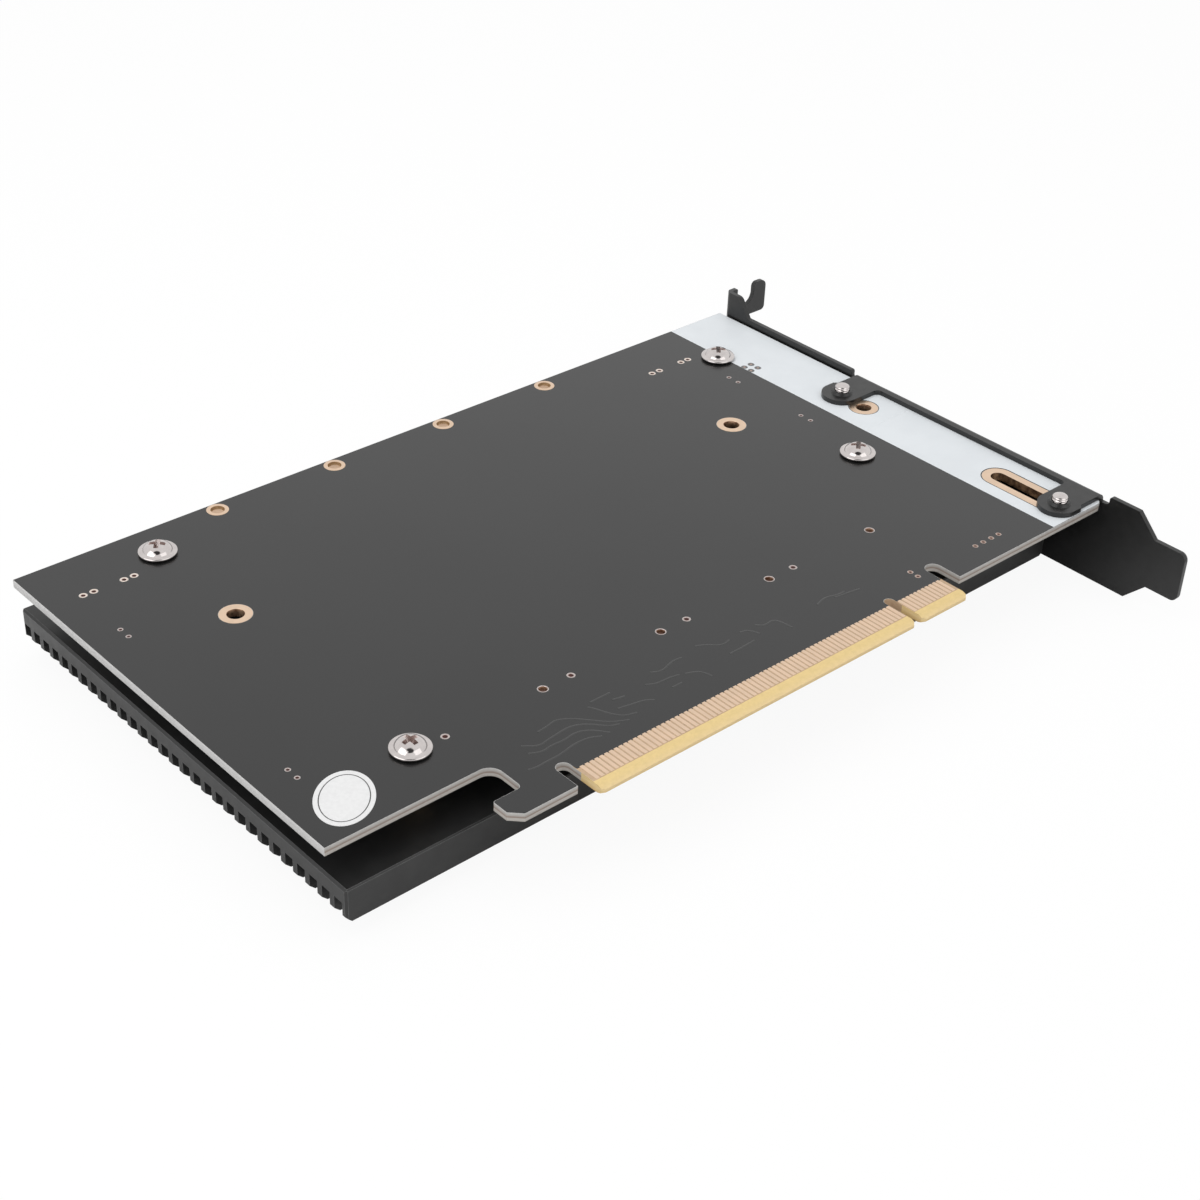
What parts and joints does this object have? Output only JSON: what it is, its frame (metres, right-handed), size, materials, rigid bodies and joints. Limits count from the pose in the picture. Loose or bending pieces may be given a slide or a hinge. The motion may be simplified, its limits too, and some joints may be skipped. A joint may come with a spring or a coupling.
{
  "type": "solid-state drive adapter card",
  "caption": "Expansion card with a gold edge connector, a folded bracket and a finned heatsink that covers its drive bays.",
  "frame": {"origin": "where the key notch's centre line meets the tip of the edge connector, at half the board's thickness", "axes": "+X along the connector towards the bracket, +Y from the connector's tip to the far edge, +Z out of the solder side"},
  "size_m": [0.1818, 0.1228, 0.0228],
  "materials": {
    "solder_mask": "satin",
    "gold_plate": "satin",
    "black_coated_steel": "satin",
    "nickel_steel": "bright",
    "black_anodised": "satin",
    "bare_brass": "satin",
    "black_resin": "matt",
    "soft_pad": "matt",
    "pressed_powder": "matt",
    "capacitor_body": "matt",
    "lamp_lens": "clear",
    "label_paper": "matt"
  },
  "bodies": {
    "root": {"circuit_board": "solder_mask", "contacts_solder_side": "gold_plate", "contacts_component_side": "gold_plate", "bracket": "black_coated_steel", "bracket_screws": "nickel_steel", "heatsink": "black_anodised", "heatsink_screws": "nickel_steel", "heatsink_pillars": "bare_brass", "drive_socket_1": "black_resin", "drive_socket_2": "black_resin", "drive_socket_3": "black_resin", "drive_socket_4": "black_resin", "drive_standoff_1": "bare_brass", "drive_standoff_2": "bare_brass", "drive_standoff_3": "bare_brass", "drive_standoff_4": "bare_brass", "thermal_pad_1": "soft_pad", "thermal_pad_2": "soft_pad", "thermal_pad_3": "soft_pad", "thermal_pad_4": "soft_pad", "power_inductors": "pressed_powder", "power_regulators": "black_resin", "bulk_capacitors": "black_resin", "clock_chip": "black_resin", "coupling_capacitors": "capacitor_body", "smoothing_capacitors": "capacitor_body", "indicator_lamps": "lamp_lens", "inspection_label": "label_paper"}
  },
  "joints": []
}
